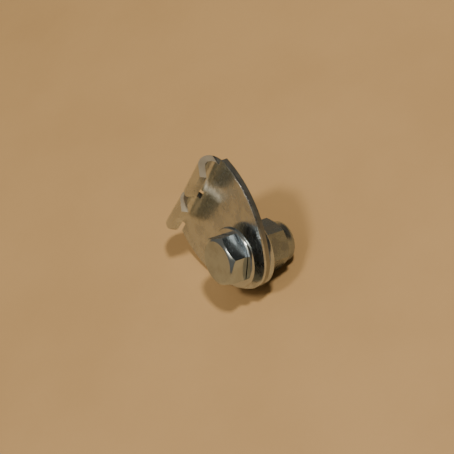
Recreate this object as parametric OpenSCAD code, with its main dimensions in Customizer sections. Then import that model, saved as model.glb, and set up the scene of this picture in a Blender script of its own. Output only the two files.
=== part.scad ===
// Straddle cable clip: a fan of sheet steel with a rolled cable hook along its wide end,
// carried on a cross-drilled pinch bolt with two washers and a lock nut.
//
// Working frame, before the clip is laid down: X runs from the bolt to the hooks, Y runs
// across the sheet and Z runs along the bolt from its head to its nut. Z = 0 is the face
// of the sheet that looks at the bolt head. Module laid_down() turns it to the way it lies.

/* [Sheet] */
// Thickness of the sheet steel
sheet_t = 1.5; // [1:0.1:2]
// Radius of the narrow end, round the bolt
end_r = 7.7; // [7:0.1:10]
// Half of the width at the widest place
half_w = 13.9; // [12:0.1:18]
// Distance from the bolt to the widest place
wide_x = 12.2; // [10:0.5:16]
// Distance from the bolt to where the sheet starts to roll
bend_x = 16.6; // [13:0.1:20]

/* [Hooks] */
// Inner radius of the rolled hook, the seat of the straddle cable
hook_r = 1.65; // [1.2:0.05:2.5]
// Angle that the sheet is rolled through
roll_deg = 155; // [120:5:180]
// Length of the straight lip after the roll
lip_l = 3; // [0.5:0.1:5]
// Rounding of each lip's far corner
lip_corner_r = 4.2; // [0.5:0.1:5]
// Length of the upper hook along the wide end
upper_hook_l = 10; // [7:0.1:12]
// Length of the lower hook along the wide end
lower_hook_l = 10; // [7:0.1:11]
// Width of the gap between the hooks
hook_gap_w = 2.6; // [1:0.1:5]
// Middle of the gap between the hooks, across the sheet from the bolt
hook_gap_y = 0.7; // [-2:0.1:2]
// Angle that the upper part of the wide end leans inwards
upper_lean = 6; // [-2:1:8]
// Angle that the lower part of the wide end leans outwards
lower_lean = 8; // [0:1:10]

/* [Bolt] */
// Diameter of the bolt's thread
bolt_d = 5.9; // [5:0.1:8]
// Length of the bolt under its head
bolt_l = 13.6; // [12:0.1:18]
// Size of the hexagon across its flats, on bolt and nut
hex_af = 10; // [9:0.5:13]
// Height of the bolt head
head_h = 4; // [3:0.1:5]
// Diameter of the flat on top of the head, inside the chamfer
head_flat_d = 9.2; // [7:0.1:10]
// Height of the chamfer on the head's corners
head_chamfer_h = 0.85; // [0.3:0.05:1.2]
// Diameter of the hole across the bolt, for the brake cable
cable_hole_d = 1.8; // [1.6:0.1:2.4]
// Height of the chamfer on the bolt's end
bolt_end_chamfer = 0.6; // [0.2:0.1:1]

/* [Washers] */
// Outer diameter of the washer under the head
front_washer_d = 13.4; // [12:0.1:16]
// Thickness of the washer under the head
front_washer_t = 1; // [0.8:0.1:1.6]
// Diameter of the hole in the washer under the head
front_washer_hole_d = 6.6; // [6.4:0.1:9]
// Distance that the loose front washer has dropped
front_washer_drop = 0.25; // [0:0.05:0.3]
// Outer diameter of the washer under the nut
back_washer_d = 15.2; // [14:0.1:18]
// Thickness of the washer under the nut
back_washer_t = 1.4; // [1:0.1:2]

/* [Nut] */
// Height of the whole lock nut
nut_h = 8.4; // [6:0.1:9]
// Height of the nut's hexagon
nut_hex_h = 6; // [4:0.1:6]
// Height of the chamfer on the nut's corners
nut_chamfer_h = 0.7; // [0.3:0.05:1]
// Diameter of the nut's round collar
collar_d = 9; // [8:0.1:10]
// Height of the nylon ring
insert_h = 2; // [1:0.1:2.5]
// Outer diameter of the nylon ring
insert_d = 7.6; // [7:0.1:8]
// Diameter of the collar's mouth, where the bolt's end shows
collar_mouth_d = 6.6; // [6.2:0.1:7]
// Diameter of the nut's round seat on the washer
nut_seat_d = 9.6; // [8:0.1:10]
// Thickness of the collar's rolled lip over the nylon ring
collar_lip = 0.5; // [0.3:0.1:0.8]

/* [Fits] */
// Gap between the loose front washer and the sheet, where the brake cable goes
cable_gap = 1.5; // [1:0.1:2.5]
// Gap between faces that only just touch
face_gap = 0.04; // [0.02:0.01:0.1]
// Gap between the bolt head and the loose front washer
head_gap = 0.12; // [0.02:0.01:0.2]
// Radial gap between the bolt and the holes that it turns in
turn_gap = 0.08; // [0.04:0.01:0.1]
// Radial gap between the bolt's thread and the nut
thread_gap = 0.05; // [0.02:0.01:0.08]

/* [Hidden] */
$fn = 96;
eps = 0.01;
bolt_r = bolt_d / 2;
turn_hole_r = bolt_r + turn_gap;
thread_hole_r = bolt_r + thread_gap;
// The sheet is a trace thicker where it is rolled, and its flats run a little way into the roll
roll_step = 0.01;
roll_overlap = 0.1;
hook_outer_r = hook_r + sheet_t + 2 * roll_step;
// How far the cut at a lip's corner starts inside the lip
lip_cut = 1.2;
// How far the rounding of that corner starts inside the lip's edges
corner_nip = 0.02;

// Places along the bolt
front_washer_z = -cable_gap - front_washer_t;
head_under_z = front_washer_z - head_gap;
head_top_z = head_under_z - head_h;
back_washer_z = sheet_t + face_gap;
nut_z = back_washer_z + back_washer_t + face_gap;
insert_z = nut_z + nut_h - collar_lip - insert_h;
cable_hole_z = -cable_gap / 2;

// Turn of each hexagon about the bolt
head_turn = 10;
nut_turn = 40;
// How far the nut's collar reaches down into its hexagon
collar_root = 1;
// Rounding of the nut's collar
collar_round = 1.2;

// The sides of the sheet are arcs that run in just under the curve of the round end
tuck_r = end_r - 0.02;
side_r = (wide_x * wide_x + half_w * half_w - tuck_r * tuck_r) / (2 * (half_w - tuck_r));
side_y = half_w - side_r;
blend_x = -tuck_r * wide_x / norm([wide_x, side_y]);

// How the clip lies on a flat surface: turned about its bolt, then leant on its nut
lie_turn = 18.8;
lie_lean = 33.4;
lie_shift = [-1.73, -7.86, 9.56];

module laid_down() {
    translate(lie_shift)
        rotate([0, lie_lean, 0])
            rotate([90, 0, 90])
                rotate([0, 0, lie_turn])
                    children();
}

// The flat of the sheet: the round end, and two side arcs up to the two bend lines
module sheet_outline() {
    far = 4 * half_w;
    end_x = bend_x + roll_overlap;
    circle(r = end_r, $fn = 160);
    intersection() {
        translate([wide_x, side_y]) circle(r = side_r, $fn = 240);
        translate([wide_x, -side_y]) circle(r = side_r, $fn = 240);
        polygon([
            [blend_x, -far],
            [end_x + far * tan(lower_lean), hook_gap_y - far],
            [end_x, hook_gap_y],
            [end_x - far * tan(upper_lean), hook_gap_y + far],
            [blend_x, far],
        ]);
    }
}

// Section of a hook: X is outwards from the bend line and Y is towards the nut
module hook_section() {
    far = 2 * hook_outer_r;
    translate([0, -hook_r - roll_step]) {
        intersection() {
            difference() {
                circle(r = hook_outer_r);
                circle(r = hook_r);
            }
            polygon(concat([[0, 0]], [for (i = [0:4]) let (a = 90 - roll_deg * i / 4) far * [cos(a), sin(a)]]));
        }
        rotate(90 - roll_deg) translate([hook_r + roll_step, -lip_l]) square([sheet_t, lip_l + roll_overlap]);
    }
}

// What is cut away from a lip's far corner: a square with its inner corner round
module lip_corner() {
    linear_extrude(height = sheet_t + 2 * lip_cut) difference() {
        square([2 * lip_corner_r, 2 * lip_corner_r]);
        circle(r = lip_corner_r);
    }
}

// A hook of length l along Y from its bend line at X = 0, with its lip's corner at Y = 0 round
module hook(l) {
    difference() {
        translate([0, l, 0]) rotate([90, 0, 0]) linear_extrude(height = l) hook_section();
        translate([0, lip_corner_r - corner_nip, -hook_r - roll_step])
            rotate([0, roll_deg - 90, 0])
                translate([hook_r - lip_cut, 0, lip_corner_r - corner_nip - lip_l])
                    rotate([0, 90, 0])
                        mirror([0, 1, 0])
                            lip_corner();
    }
}

module hanger_plate() {
    color("silver") laid_down() difference() {
        union() {
            linear_extrude(height = sheet_t) sheet_outline();
            translate([bend_x, hook_gap_y, 0]) rotate([0, 0, upper_lean])
                translate([0, hook_gap_w / 2, 0]) hook(upper_hook_l);
            translate([bend_x, hook_gap_y, 0]) rotate([0, 0, lower_lean])
                translate([0, -hook_gap_w / 2 - lower_hook_l, 0]) hook(lower_hook_l);
        }
        translate([0, 0, -eps]) cylinder(h = sheet_t + 2 * eps, r = turn_hole_r);
    }
}

module hexagon(h) {
    cylinder(h = h, d = hex_af / cos(30), $fn = 6);
}

// A cone that cuts a hexagon's corners, with its flat of diameter flat_d at z = 0
module corner_cone(h, flat_d, chamfer_h) {
    corner_d = hex_af / cos(30) + 2 * eps;
    cylinder(h = chamfer_h, d1 = flat_d, d2 = corner_d);
    translate([0, 0, chamfer_h - eps]) cylinder(h = h - chamfer_h + eps, d = corner_d);
}

module pinch_bolt() {
    color("lightgray") laid_down() {
        translate([0, 0, head_top_z]) rotate([0, 0, head_turn]) intersection() {
            hexagon(head_h);
            corner_cone(head_h, head_flat_d, head_chamfer_h);
        }
        difference() {
            translate([0, 0, head_under_z - eps]) rotate_extrude() polygon([
                [0, 0],
                [bolt_r, 0],
                [bolt_r, bolt_l - bolt_end_chamfer],
                [bolt_r - bolt_end_chamfer, bolt_l],
                [0, bolt_l],
            ]);
            translate([0, 0, cable_hole_z]) rotate([0, 90, 0])
                cylinder(h = 2 * bolt_d, d = cable_hole_d, center = true);
        }
    }
}

module washer(d, t, hole_r) {
    difference() {
        cylinder(h = t, d = d);
        translate([0, 0, -eps]) cylinder(h = t + 2 * eps, r = hole_r);
    }
}

module front_washer() {
    color("silver") laid_down()
        translate([0, -front_washer_drop, front_washer_z])
            washer(front_washer_d, front_washer_t, front_washer_hole_d / 2);
}

module back_washer() {
    color("silver") laid_down()
        translate([0, 0, back_washer_z])
            washer(back_washer_d, back_washer_t, turn_hole_r);
}

module lock_nut() {
    color("darkgray") laid_down() translate([0, 0, nut_z]) difference() {
        union() {
            rotate([0, 0, nut_turn]) intersection() {
                hexagon(nut_hex_h);
                translate([0, 0, nut_hex_h]) mirror([0, 0, 1])
                    corner_cone(nut_hex_h, collar_d, nut_chamfer_h);
                corner_cone(nut_hex_h, nut_seat_d, nut_chamfer_h / 2);
            }
            rotate_extrude() polygon(concat(
                [[0, nut_hex_h - collar_root], [collar_d / 2, nut_hex_h - collar_root]],
                [for (a = [0:10:90]) [
                    collar_d / 2 - collar_round * (1 - cos(a)),
                    nut_h - collar_round * (1 - sin(a))
                ]],
                [[0, nut_h]]
            ));
        }
        translate([0, 0, -eps]) cylinder(h = nut_h + 2 * eps, r = thread_hole_r);
        translate([0, 0, insert_z - nut_z]) cylinder(h = insert_h, d = insert_d);
        translate([0, 0, insert_z - nut_z]) cylinder(h = nut_h, d = collar_mouth_d);
    }
}

module nut_insert() {
    color("white") laid_down() translate([0, 0, insert_z]) difference() {
        cylinder(h = insert_h, d = insert_d);
        translate([0, 0, -eps]) cylinder(h = insert_h + 2 * eps, r = thread_hole_r);
    }
}

hanger_plate();
pinch_bolt();
front_washer();
back_washer();
lock_nut();
nut_insert();
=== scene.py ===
# %% [markdown]
# # A straddle cable clip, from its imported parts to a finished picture
#
# The clip is a fan of zinc plated sheet steel. Two hooks are rolled along its wide end, and a
# bolt, two washers and a lock nut go through its narrow end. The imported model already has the
# true sizes, so this lesson softens edges, cuts the thread and gives each metal its finish.

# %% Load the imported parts
import math
import bpy
from mathutils import Matrix, Vector


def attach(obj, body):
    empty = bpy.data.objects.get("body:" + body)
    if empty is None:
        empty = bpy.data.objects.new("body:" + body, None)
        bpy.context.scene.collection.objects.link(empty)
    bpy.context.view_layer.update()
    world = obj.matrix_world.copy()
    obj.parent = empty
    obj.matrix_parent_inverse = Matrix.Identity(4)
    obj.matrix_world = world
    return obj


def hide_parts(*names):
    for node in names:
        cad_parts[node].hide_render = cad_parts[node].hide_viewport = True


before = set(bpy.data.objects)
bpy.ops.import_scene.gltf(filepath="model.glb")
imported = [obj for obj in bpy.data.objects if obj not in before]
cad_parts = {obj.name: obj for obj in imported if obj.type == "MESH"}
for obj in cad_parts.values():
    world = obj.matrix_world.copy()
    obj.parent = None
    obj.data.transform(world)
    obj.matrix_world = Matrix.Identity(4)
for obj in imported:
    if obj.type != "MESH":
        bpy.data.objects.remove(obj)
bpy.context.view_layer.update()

MM = 0.001
print("parts:", sorted(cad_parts))

# %% [markdown]
# ## The camera
#
# A small part is best seen from a hand's length or two away with a long lens, so that its near
# end doesn't look swollen. The camera is placed by plain quantities: the point it looks at, how
# far away it is, how far round and how high it stands, and its tilt.

# %% Camera
LOOK_AT = Vector((-0.66, -5.42, 16.45)) * MM
DISTANCE = 300.1 * MM
ROUND, HIGH, TILT = -103.15, 47.83, -33.65
LENS, SENSOR = 113.2, 36.0

away = Vector((
    math.cos(math.radians(HIGH)) * math.cos(math.radians(ROUND)),
    math.cos(math.radians(HIGH)) * math.sin(math.radians(ROUND)),
    math.sin(math.radians(HIGH)),
))
camera_data = bpy.data.cameras.new("camera")
camera_data.lens = LENS
camera_data.sensor_width = SENSOR
camera_data.clip_start = 0.01
camera_data.clip_end = 20.0
camera = bpy.data.objects.new("camera", camera_data)
bpy.context.scene.collection.objects.link(camera)
level = away.to_track_quat("Z", "Y").to_matrix().to_4x4()
camera.matrix_world = (
    Matrix.Translation(LOOK_AT + away * DISTANCE) @ level @ Matrix.Rotation(math.radians(TILT), 4, "Z")
)
bpy.context.scene.camera = camera
print("camera at", [round(v, 4) for v in camera.matrix_world.translation])

# %% [markdown]
# ## The clip's own frame
#
# The clip lies tipped over on its nut, which makes it awkward to model. So new pieces are made
# in the clip's own frame, where Z runs along the bolt from its head to its nut and Z = 0 is the
# face of the sheet that looks at the head. One matrix then lays a finished piece down.

# %% From the clip's own frame to the way it lies
LIE_TURN, LIE_LEAN = 18.8, 33.4
LIE_SHIFT = Vector((-1.73, -7.86, 9.56)) * MM


def turn(degrees, axis):
    return Matrix.Rotation(math.radians(degrees), 4, axis)


LAID_DOWN = (
    Matrix.Translation(LIE_SHIFT)
    @ turn(LIE_LEAN, "Y") @ turn(90, "Z") @ turn(90, "X") @ turn(LIE_TURN, "Z")
)
bolt_axis = (LAID_DOWN.to_3x3() @ Vector((0, 0, 1))).normalized()
across_axis = (LAID_DOWN.to_3x3() @ Vector((0, 1, 0))).normalized()
print("bolt axis:", [round(v, 3) for v in bolt_axis])

# %% [markdown]
# ## Helpers for modelling with operators
#
# An operator works on whatever is selected, so each helper starts from a clean selection.
# `lay_down` finishes a piece: it moves the piece into place and applies that place to its mesh.

# %% Selecting, applying and laying down
def only(piece):
    if bpy.context.mode != "OBJECT":
        bpy.ops.object.mode_set(mode="OBJECT")
    bpy.ops.object.select_all(action="DESELECT")
    piece.select_set(True)
    bpy.context.view_layer.objects.active = piece


def edit(piece):
    only(piece)
    bpy.ops.object.mode_set(mode="EDIT")
    bpy.ops.mesh.select_all(action="SELECT")


def named(name):
    piece = bpy.context.active_object
    piece.name = name
    piece.data.name = name
    return piece


def apply_modifiers(piece):
    only(piece)
    for modifier in list(piece.modifiers):
        bpy.ops.object.modifier_apply(modifier=modifier.name)


def round_edges(piece, radius, sharper_than=28, segments=3):
    """Rounds every edge sharper than an angle, by less than asked where edges are short."""
    bevel = piece.modifiers.new("rounding", "BEVEL")
    bevel.width = radius
    bevel.segments = segments
    bevel.limit_method = "ANGLE"
    bevel.angle_limit = math.radians(sharper_than)
    bevel.use_clamp_overlap = True
    bevel.harden_normals = False
    apply_modifiers(piece)


def smooth(piece, angle=32):
    """Smooth shading, with flat faces kept flat right up to their rounded edges."""
    only(piece)
    bpy.ops.object.shade_smooth_by_angle(angle=math.radians(angle))
    weighted = piece.modifiers.new("flat_faces", "WEIGHTED_NORMAL")
    weighted.mode = "FACE_AREA"
    weighted.weight = 90
    weighted.keep_sharp = True
    apply_modifiers(piece)


def lay_down(piece):
    piece.matrix_world = LAID_DOWN @ piece.matrix_world
    only(piece)
    bpy.ops.object.transform_apply(location=True, rotation=True, scale=True)


def outward(piece):
    edit(piece)
    bpy.ops.mesh.remove_doubles(threshold=0.002 * MM)
    bpy.ops.mesh.normals_make_consistent(inside=False)
    bpy.ops.object.mode_set(mode="OBJECT")


def cut(piece, tool, operation="DIFFERENCE"):
    """Cuts a piece with a tool shape, which is then thrown away."""
    boolean = piece.modifiers.new("cut", "BOOLEAN")
    boolean.operation = operation
    boolean.solver = "EXACT"
    boolean.object = tool
    apply_modifiers(piece)
    bpy.data.objects.remove(tool)


def report(piece):
    points = [vertex.co for vertex in piece.data.vertices]
    size = [max(p[i] for p in points) - min(p[i] for p in points) for i in range(3)]
    print(piece.name, "faces", len(piece.data.polygons), "size mm", [round(s / MM, 2) for s in size])


# %% [markdown]
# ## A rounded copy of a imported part
#
# The sheet, the nut and the nylon ring have the right shape already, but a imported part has
# knife-sharp edges, and no real metal edge is that sharp. A thin highlight along every edge is
# what makes metal look solid. A copy is merged, because its triangles are loose, its flat faces
# are made whole, and then its edges are rounded. Modelling the sheet again by hand would only
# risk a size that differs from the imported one.
#
# The bevel's overlap limit keeps a rounding from running past short edges beside it. The nylon
# ring gets all that is asked. The sheet's outline gets only about four hundredths of a
# millimetre, and its hooks and the nut stay almost sharp. So the width that is asked for is a
# ceiling, and it pays to measure the result, for example by the volume that the bevel removed.

# %% Rounded copies
def round_rim(piece, radius, reach):
    """Softens the long outline of the flat, which ends a little before the hooks begin."""
    to_own = LAID_DOWN.inverted()
    edit(piece)
    bpy.ops.mesh.select_mode(type="EDGE")
    bpy.ops.mesh.select_all(action="DESELECT")
    bpy.ops.mesh.edges_select_sharp(sharpness=math.radians(60))
    bpy.ops.object.mode_set(mode="OBJECT")
    mesh = piece.data
    along = [(to_own @ vertex.co).x for vertex in mesh.vertices]
    wanted = [edge.select and max(along[i] for i in edge.vertices) < reach for edge in mesh.edges]
    mesh.vertices.foreach_set("select", [False] * len(mesh.vertices))
    mesh.polygons.foreach_set("select", [False] * len(mesh.polygons))
    mesh.edges.foreach_set("select", wanted)
    bpy.ops.object.mode_set(mode="EDIT")
    bpy.ops.mesh.bevel(offset=radius, offset_type="OFFSET", segments=3, clamp_overlap=True)
    bpy.ops.mesh.select_mode(type="VERT")
    bpy.ops.object.mode_set(mode="OBJECT")
    print(piece.name, "rim edges rounded:", sum(wanted))


def rounded_copy(node, name, radius, sharper_than=28, rim=None):
    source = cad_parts[node]
    piece = bpy.data.objects.new(name, source.data.copy())
    piece.data.name = name
    piece.data.materials.clear()
    bpy.context.scene.collection.objects.link(piece)
    edit(piece)
    bpy.ops.mesh.customdata_custom_splitnormals_clear()
    bpy.ops.mesh.remove_doubles(threshold=0.001 * MM)
    bpy.ops.mesh.dissolve_limited(angle_limit=math.radians(0.6), use_dissolve_boundaries=False)
    bpy.ops.object.mode_set(mode="OBJECT")
    if rim:
        round_rim(piece, rim[0] * MM, rim[1] * MM)
    round_edges(piece, radius * MM, sharper_than)
    smooth(piece)
    report(piece)
    return piece


RIM_ROUNDING, RIM_REACH = 0.38, 15.0
stamped_sheet = rounded_copy(
    "hanger_plate", "stamped_sheet", 0.2, sharper_than=40, rim=(RIM_ROUNDING, RIM_REACH)
)
nut_body = rounded_copy("lock_nut", "nut_body", 0.14, sharper_than=24)
nylon_ring = rounded_copy("nut_insert", "nylon_ring", 0.25)

# %% [markdown]
# ## The bolt head
#
# A bolt head is forged as a hexagon and then turned, which leaves a round flat on top and a
# cone that cuts the six corners in curved lines. A six-sided cylinder is the forging, and
# keeping only what is inside a cone is the turning.

# %% Bolt head
ACROSS_FLATS = 10 * MM
HEAD_HEIGHT = 4 * MM
HEAD_FLAT = 9.2 * MM
HEAD_CHAMFER = 0.85 * MM
HEAD_TURN = 10
head_under_z = -2.62 * MM
head_top_z = head_under_z - HEAD_HEIGHT
corner_radius = ACROSS_FLATS / math.sqrt(3)

only(stamped_sheet)
bpy.ops.mesh.primitive_cylinder_add(
    vertices=6, radius=corner_radius, depth=HEAD_HEIGHT,
    location=(0, 0, head_top_z + HEAD_HEIGHT / 2), rotation=(0, 0, math.radians(HEAD_TURN - 90)),
)
bolt_head = named("bolt_head")
slope = (corner_radius - HEAD_FLAT / 2) / HEAD_CHAMFER
bpy.ops.mesh.primitive_cone_add(
    vertices=128, radius1=HEAD_FLAT / 2, radius2=HEAD_FLAT / 2 + slope * HEAD_HEIGHT, depth=HEAD_HEIGHT,
    location=(0, 0, head_top_z + HEAD_HEIGHT / 2),
)
cut(bolt_head, named("turning_cone"), "INTERSECT")
outward(bolt_head)
round_edges(bolt_head, 0.13 * MM, sharper_than=12)
smooth(bolt_head, 40)
lay_down(bolt_head)
report(bolt_head)

# %% [markdown]
# ## The bolt's shank and thread
#
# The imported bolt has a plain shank. On the real one a thread of one millimetre pitch is rolled
# into it. The thread is one ridge: a small triangle is drawn once and the Screw modifier winds
# it up the shank. A hole for the brake cable then goes across both.

# %% Shank and thread
THREAD_TOP = 2.93 * MM
THREAD_ROOT = 2.42 * MM
PITCH = 1.0 * MM
SHANK_LENGTH = 13.6 * MM
CABLE_HOLE = 0.9 * MM
cable_hole_z = -0.75 * MM
shank_end_z = head_under_z + SHANK_LENGTH


def cable_drill():
    bpy.ops.mesh.primitive_cylinder_add(
        vertices=48, radius=CABLE_HOLE, depth=10 * MM,
        location=(0, 0, cable_hole_z), rotation=(0, math.radians(90), 0),
    )
    return named("cable_drill")


bpy.ops.mesh.primitive_cylinder_add(
    vertices=96, radius=THREAD_ROOT + 0.02 * MM, depth=SHANK_LENGTH + 0.5 * MM,
    location=(0, 0, head_under_z - 0.5 * MM + (SHANK_LENGTH + 0.5 * MM) / 2),
)
bolt_shank = named("bolt_shank")
cut(bolt_shank, cable_drill())
outward(bolt_shank)
round_edges(bolt_shank, 0.3 * MM, sharper_than=50)
smooth(bolt_shank, 40)

thread_low = head_under_z + 0.25 * MM
turns = int((shank_end_z - 0.55 * MM - thread_low - PITCH) / PITCH)
bpy.ops.mesh.primitive_plane_add(size=1 * MM, location=(0, 0, 0))
bolt_thread = named("bolt_thread")
profile = [
    (THREAD_ROOT - 0.1 * MM, thread_low),
    (THREAD_ROOT - 0.1 * MM, thread_low + 0.96 * PITCH),
    (THREAD_TOP, thread_low + 0.54 * PITCH),
    (THREAD_TOP, thread_low + 0.42 * PITCH),
]
for vertex, (radius, height) in zip(
    [bolt_thread.data.vertices[i] for i in (0, 2, 3, 1)], profile
):
    vertex.co = (radius, 0, height)
wind = bolt_thread.modifiers.new("wind", "SCREW")
wind.axis = "Z"
wind.angle = math.radians(360)
wind.screw_offset = PITCH
wind.iterations = turns
wind.steps = 48
wind.render_steps = 48
wind.use_merge_vertices = False
edit(bolt_thread)
bpy.ops.mesh.delete(type="ONLY_FACE")
bpy.ops.object.mode_set(mode="OBJECT")
apply_modifiers(bolt_thread)
edit(bolt_thread)
bpy.ops.mesh.fill_holes(sides=4)
bpy.ops.object.mode_set(mode="OBJECT")
outward(bolt_thread)
cut(bolt_thread, cable_drill())
smooth(bolt_thread, 25)
for piece in (bolt_shank, bolt_thread):
    lay_down(piece)
    report(piece)
print("thread turns:", turns)

# %% [markdown]
# ## The two washers
#
# A washer is punched from strip, so its edges are a little rounded where the punch pressed in.
# A circle is drawn at the hole, extruded outwards to the rim and then through its thickness.
# The front washer is loose, so it hangs a quarter of a millimetre low on the bolt.

# %% Washers
def washer(name, hole_radius, rim_radius, thickness, low_z, drop, rounding):
    bpy.ops.mesh.primitive_circle_add(
        vertices=128, radius=hole_radius, fill_type="NOTHING", location=(0, -drop, low_z)
    )
    piece = named(name)
    edit(piece)
    bpy.ops.mesh.extrude_edges_move()
    grow = rim_radius / hole_radius
    bpy.ops.transform.resize(value=(grow, grow, 1), center_override=(0, -drop, low_z))
    bpy.ops.mesh.select_all(action="SELECT")
    bpy.ops.mesh.extrude_region_move(TRANSFORM_OT_translate={"value": (0, 0, thickness)})
    bpy.ops.object.mode_set(mode="OBJECT")
    outward(piece)
    round_edges(piece, rounding, sharper_than=40, segments=4)
    smooth(piece, 40)
    lay_down(piece)
    report(piece)
    return piece


loose_washer = washer("loose_washer", 3.3 * MM, 6.7 * MM, 1.0 * MM, -2.5 * MM, 0.25 * MM, 0.28 * MM)
rear_washer = washer("seat_washer", 3.03 * MM, 7.6 * MM, 1.4 * MM, 1.54 * MM, 0, 0.36 * MM)

# %% [markdown]
# ## Who moves with what
#
# The head, shank and thread are one bolt. Each finished piece rides on a body and stands for a
# imported part, which is then hidden.

# %% Ride and replace
for piece, body, node in (
    (stamped_sheet, "hanger", "hanger_plate"),
    (bolt_head, "bolt", "pinch_bolt"),
    (bolt_shank, "bolt", None),
    (bolt_thread, "bolt", None),
    (loose_washer, "head_washer", "front_washer"),
    (rear_washer, "rear_washer", "back_washer"),
    (nut_body, "nut", "lock_nut"),
    (nylon_ring, "nut", "nut_insert"),
):
    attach(piece, body)
    if node:
        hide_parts(node)
    print(piece.name, "rides on", body)

# %% [markdown]
# ## Writing a finish as a sum
#
# Shader nodes are quicker to read as arithmetic. `Socket` wraps the output of a node, so that
# `1 - mask * 0.5` adds the Math nodes by itself. `Finish.add` makes every other node from its
# type, its settings and what goes into its sockets.

# %% Socket and Finish
class Socket:
    def __init__(self, finish, output):
        self.finish, self.output = finish, output

    def math(self, operation, *values):
        return self.finish.add("ShaderNodeMath", {"operation": operation}, *values)

    def __add__(self, other):
        return self.math("ADD", self, other)

    def __sub__(self, other):
        return self.math("SUBTRACT", self, other)

    def __rsub__(self, other):
        return self.math("SUBTRACT", other, self)

    def __mul__(self, other):
        return self.math("MULTIPLY", self, other)

    __radd__ = __add__

    def between(self, low, high):
        """0 below low, 1 above high, and a smooth slope from one to the other."""
        return self.finish.add(
            "ShaderNodeMapRange", {"interpolation_type": "SMOOTHSTEP"}, self, low, high, 0.0, 1.0
        )


class Finish:
    def __init__(self, name, metallic, roughness, base):
        self.material = bpy.data.materials.new(name)
        self.material.use_nodes = True
        self.tree = self.material.node_tree
        self.shader = self.tree.nodes["Principled BSDF"]
        self.shader.inputs["Metallic"].default_value = metallic
        self.shader.inputs["Roughness"].default_value = roughness
        self.shader.inputs["Base Color"].default_value = (*base, 1)

    def add(self, kind, settings=None, *values, output=0, **sockets):
        node = self.tree.nodes.new(kind)
        for name, value in (settings or {}).items():
            if name == "stops":
                for element, (place, colour) in zip(
                    [node.color_ramp.elements[0]]
                    + [node.color_ramp.elements.new(0.5) for _ in value[2:]]
                    + [node.color_ramp.elements[-1]],
                    value,
                ):
                    element.position, element.color = place, (*colour, 1)
            else:
                setattr(node, name, value)
        for key, value in list(enumerate(values)) + list(sockets.items()):
            self.feed(node.inputs[key], value)
        return Socket(self, node.outputs[output])

    def feed(self, target, value):
        if isinstance(value, Socket):
            self.tree.links.new(value.output, target)
        elif isinstance(value, tuple) and len(value) == 3 and target.type == "RGBA":
            target.default_value = (*value, 1)
        else:
            target.default_value = value

    def give(self, name, value):
        self.feed(self.shader.inputs[name], value)

    def mix(self, factor, first, second):
        """From the first colour to the second as factor goes from 0 to 1."""
        node = self.tree.nodes.new("ShaderNodeMix")
        node.data_type = "RGBA"
        for index, value in ((0, factor), (6, first), (7, second)):
            self.feed(node.inputs[index], value)
        return Socket(self, node.outputs[2])

    def own_frame(self):
        """The point in the clip's own frame, in millimetres."""
        point = self.add("ShaderNodeTexCoord", None, output=3)
        return self.add(
            "ShaderNodeMapping", {"vector_type": "TEXTURE"}, point,
            Location=LIE_SHIFT, Rotation=LAID_DOWN.to_euler(), Scale=(MM, MM, MM),
        )

    def facing(self, axis):
        """1 where the surface looks along an axis, either way, and 0 where it lies along it."""
        normal = self.add("ShaderNodeTexCoord", None, output=1)
        along = self.add(
            "ShaderNodeVectorMath", {"operation": "DOT_PRODUCT"}, normal, tuple(axis), output=1
        )
        return self.add("ShaderNodeMath", {"operation": "ABSOLUTE"}, along)

    def noise(self, point, scale, detail=3.0, rough=0.55, stretch=None):
        if stretch:
            point = self.add("ShaderNodeMapping", None, point, Scale=stretch)
        return self.add(
            "ShaderNodeTexNoise", None, Vector=point, Scale=scale, Detail=detail, Roughness=rough
        )

    def bump(self, height, depth_mm, strength=1.0):
        normal = self.add(
            "ShaderNodeBump", None, Strength=strength, Distance=depth_mm * MM, Height=height
        )
        self.give("Normal", normal)


# %% [markdown]
# ## Bright zinc plating
#
# Zinc plating is bright and faintly warm, with cloudy patches where it is duller, a skin that
# waves like orange peel, and hair-fine scratches from the tumbling drum. Each of these is a
# noise of its own size, so that none of them repeats on all the others. The scratches only
# change how rough the metal is and dent it very slightly, which is how real ones show.

# %% The plating that every steel piece shares
def plating(finish, point, bright, dull, clean_rough, cloudy_rough, seed):
    """Colour, roughness and height of zinc plate at a point."""
    shifted = finish.add("ShaderNodeVectorMath", {"operation": "ADD"}, point, (seed, seed * 0.7, seed * 1.3))
    clouds = finish.noise(shifted, 0.28, 4.0).between(0.40, 0.64)
    specks = finish.noise(shifted, 3.1, 2.0).between(0.58, 0.74)
    scratch_a = finish.noise(shifted, 2.2, 2.0, 0.5, (0.12, 3.4, 3.4)).between(0.60, 0.66)
    scratch_b = finish.noise(shifted, 1.9, 2.0, 0.5, (3.1, 0.16, 2.6)).between(0.62, 0.68)
    peel = finish.noise(shifted, 0.9, 2.0)
    scratches = scratch_a + scratch_b
    colour = finish.mix(clouds * 0.55 + specks * 0.15, bright, dull)
    rough = clean_rough + clouds * (cloudy_rough - clean_rough) + scratches * 0.07 + specks * 0.05
    height = peel * 0.40 - scratches * 0.05 + specks * 0.05
    return colour, rough, height


# %% [markdown]
# ## The stamped sheet
#
# A press cuts the sheet's outline. Along the cut the first third of the thickness is burnished
# smooth and the rest is torn, dark and rough. The cut ends of the hooks are rougher, and they are
# also painted a paler warm colour as a painted highlight. On the faces a faint grain runs along
# the strip, and each roll is polished where the tool slid over it.

# %% Sheet finish

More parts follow.
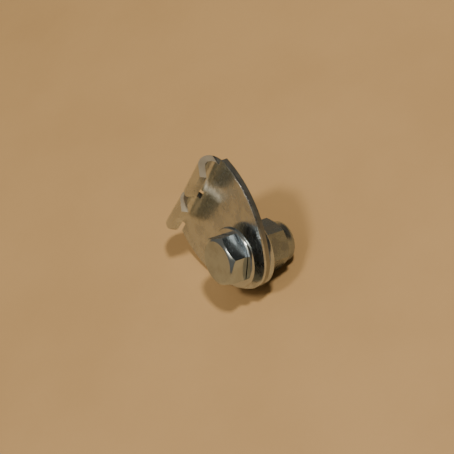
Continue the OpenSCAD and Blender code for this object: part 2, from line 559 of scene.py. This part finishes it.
def sheet_finish():
    finish = Finish("zinc_sheet", 1.0, 0.24, (0.62, 0.58, 0.5))
    point = finish.own_frame()
    colour, rough, height = plating(finish, point, (0.57, 0.63, 0.68), (0.46, 0.50, 0.51), 0.19, 0.29, 3.0)
    grain = finish.noise(point, 1.3, 3.0, 0.6, (0.25, 7.0, 7.0))
    edge = 1 - finish.facing(bolt_axis).between(0.12, 0.5)
    hook_end = finish.facing(across_axis).between(0.80, 0.93)
    depth = finish.add("ShaderNodeSeparateXYZ", None, point, output=2)
    on_flat = depth.between(-0.05, 0.05)
    torn = depth.between(0.42, 0.62) * on_flat * edge
    sheared_end_and_highlight = (1 - on_flat) * hook_end
    rolled = (1 - on_flat) * (1 - hook_end)
    tear = finish.noise(point, 2.2, 4.0, 0.65, (3.5, 3.5, 0.7))
    colour = finish.mix(torn * (0.45 + tear * 0.5), colour, (0.20, 0.20, 0.17))
    # Cut hook ends: rougher and bumpier, and painted a paler warm colour as a painted highlight.
    colour = finish.mix(sheared_end_and_highlight * (0.55 + tear * 0.4), colour, (0.52, 0.46, 0.34))
    finish.give("Base Color", colour)
    finish.give("Roughness", rough + grain * 0.06 + torn * 0.12 + sheared_end_and_highlight * 0.30 - rolled * 0.05)
    finish.bump(height * 0.8 + grain * 0.12 + (torn + sheared_end_and_highlight) * tear * 0.9, 0.03)
    return finish.material


# %% [markdown]
# ## Bolt, washers and nut
#
# The head and the nut are forged and turned. Their flats keep a few dull patches, and the top
# of the head shows faint rings from the turning. The washers are tumbled and a little softer.
# The thread is painted darker in its roots, as painted shade, and is rougher there.

# %% Hardware finishes
def hardware_finish(name, bright, dull, clean_rough, cloudy_rough, seed, rings=0.0):
    finish = Finish(name, 1.0, clean_rough, bright)
    point = finish.own_frame()
    colour, rough, height = plating(finish, point, bright, dull, clean_rough, cloudy_rough, seed)
    if rings:
        flat = finish.add("ShaderNodeVectorMath", {"operation": "MULTIPLY"}, point, (1.0, 1.0, 0.0))
        radius = finish.add("ShaderNodeVectorMath", {"operation": "LENGTH"}, flat, output=1)
        turned = finish.add("ShaderNodeMath", {"operation": "SINE"}, radius * 42.0)
        height = height + turned * rings
    finish.give("Base Color", colour)
    finish.give("Roughness", rough)
    finish.bump(height, 0.025)
    return finish.material


def thread_finish():
    finish = Finish("zinc_thread", 1.0, 0.3, (0.5, 0.49, 0.45))
    point = finish.own_frame()
    colour, rough, height = plating(finish, point, (0.60, 0.59, 0.55), (0.42, 0.40, 0.36), 0.22, 0.38, 11.0)
    flat = finish.add("ShaderNodeVectorMath", {"operation": "MULTIPLY"}, point, (1.0, 1.0, 0.0))
    radius = finish.add("ShaderNodeVectorMath", {"operation": "LENGTH"}, flat, output=1)
    # Painted shade: the thread is darkened towards its roots.
    root_painted_shade = 1 - radius.between(2.45, 2.8)
    finish.give("Base Color", finish.mix(root_painted_shade * 0.75, colour, (0.10, 0.09, 0.07)))
    finish.give("Roughness", rough + root_painted_shade * 0.25)
    finish.bump(height, 0.02)
    return finish.material


# %% [markdown]
# ## The nylon ring
#
# Natural nylon is a milky, slightly yellow plastic. It lets a little light in, and turning it
# leaves a soft uneven sheen.

# %% Nylon finish
def nylon_finish():
    finish = Finish("natural_nylon", 0.0, 0.42, (0.83, 0.80, 0.70))
    point = finish.own_frame()
    milk = finish.noise(point, 0.7, 3.0).between(0.35, 0.7)
    grit = finish.noise(point, 6.0, 2.0)
    finish.give("Base Color", finish.mix(milk, (0.86, 0.83, 0.74), (0.76, 0.72, 0.60)))
    finish.give("Roughness", 0.36 + grit * 0.16)
    finish.shader.inputs["Subsurface Weight"].default_value = 0.15
    finish.shader.inputs["Subsurface Radius"].default_value = (0.001, 0.0007, 0.0004)
    finish.bump(grit, 0.015)
    return finish.material


for piece, material in (
    (stamped_sheet, sheet_finish()),
    (bolt_head, hardware_finish(
        "zinc_bolt", (0.46, 0.56, 0.66), (0.36, 0.42, 0.46), 0.12, 0.17, 5.0, rings=0.03
    )),
    (bolt_shank, thread_finish()),
    (bolt_thread, thread_finish()),
    (loose_washer, hardware_finish(
        "zinc_loose_washer", (0.54, 0.61, 0.68), (0.43, 0.47, 0.50), 0.11, 0.16, 7.0
    )),
    (rear_washer, hardware_finish(
        "zinc_seat_washer", (0.53, 0.60, 0.66), (0.40, 0.44, 0.46), 0.16, 0.28, 8.0
    )),
    (nut_body, hardware_finish("zinc_nut", (0.36, 0.42, 0.45), (0.25, 0.28, 0.29), 0.22, 0.34, 9.0)),
    (nylon_ring, nylon_finish()),
):
    piece.data.materials.clear()
    piece.data.materials.append(material)
    print(piece.name, "is finished in", material.name)

# %% [markdown]
# ## Table and light
#
# Metal has no look of its own: it shows what is round it. A pale warm table fills the lower
# half of every reflection. Two soft lamps stand high on either side, which gives the two soft
# shadows, a wide dim ceiling fills the upper left, and the room on the right stays dark, so that
# the darker streaks appear in the steel.

# %% Table
bpy.ops.mesh.primitive_plane_add(size=3.0, location=(0, 0, -0.00002))
table = named("table")
cover = Finish("table_cover", 0.0, 0.7, (0.47, 0.315, 0.145))
spot = cover.add("ShaderNodeTexCoord", None, output=3)
mottle = cover.noise(spot, 26.0, 4.0)
weave = cover.noise(spot, 900.0, 2.0)
cover.give("Base Color", cover.mix(mottle.between(0.3, 0.75), (0.47, 0.315, 0.145), (0.43, 0.285, 0.13)))
cover.give("Roughness", 0.62 + weave * 0.2)
cover.bump(weave, 0.05, 0.3)
table.data.materials.append(cover.material)


# %% Lamps and room
def lamp(name, direction, distance, size, watts, colour):
    data = bpy.data.lights.new(name, "AREA")
    data.shape = "DISK"
    data.size = size
    data.energy = watts
    data.color = colour
    light = bpy.data.objects.new(name, data)
    bpy.context.scene.collection.objects.link(light)
    place = Vector(direction).normalized() * distance
    light.matrix_world = Matrix.Translation(place) @ place.to_track_quat("Z", "Y").to_matrix().to_4x4()
    return light


WARM = (1.0, 0.86, 0.68)
CEILING_WARM = (1.0, 0.78, 0.52)
for name, direction, distance, size, watts, colour in (
    ("left_lamp", (-0.36, -0.05, 0.93), 0.7, 0.10, 2.0, WARM),
    ("right_lamp", (0.27, -0.31, 0.92), 0.7, 0.08, 3.7, WARM),
    ("ceiling", (-0.42, -0.18, 0.88), 0.9, 0.46, 0.75, CEILING_WARM),
):
    lamp(name, direction, distance, size, watts, colour)
    print(name, "gives", watts, "W")

# %% Room: a dim warm glow, darker and cooler on the right
ROOM_STRENGTH = 0.23
room = bpy.data.worlds.new("room")
bpy.context.scene.world = room
room.use_nodes = True
glow = room.node_tree.nodes["Background"]
look = room.node_tree.nodes.new("ShaderNodeTexCoord")
side = room.node_tree.nodes.new("ShaderNodeVectorMath")
side.operation = "DOT_PRODUCT"
side.inputs[1].default_value = Vector((0.85, -0.50, 0.15)).normalized()
shade = room.node_tree.nodes.new("ShaderNodeValToRGB")
shade.color_ramp.elements[0].position = 0.25
shade.color_ramp.elements[0].color = (0.80, 0.66, 0.48, 1)
shade.color_ramp.elements[1].position = 0.75
shade.color_ramp.elements[1].color = (0.17, 0.155, 0.12, 1)
room.node_tree.links.new(look.outputs["Generated"], side.inputs[0])
room.node_tree.links.new(side.outputs["Value"], shade.inputs[0])
room.node_tree.links.new(shade.outputs[0], glow.inputs["Color"])
glow.inputs["Strength"].default_value = ROOM_STRENGTH
print("room strength:", ROOM_STRENGTH)

# %% [markdown]
# ## Clearing the selection
#
# The script ends with nothing selected.

# %% Clear the selection
bpy.ops.object.select_all(action="DESELECT")
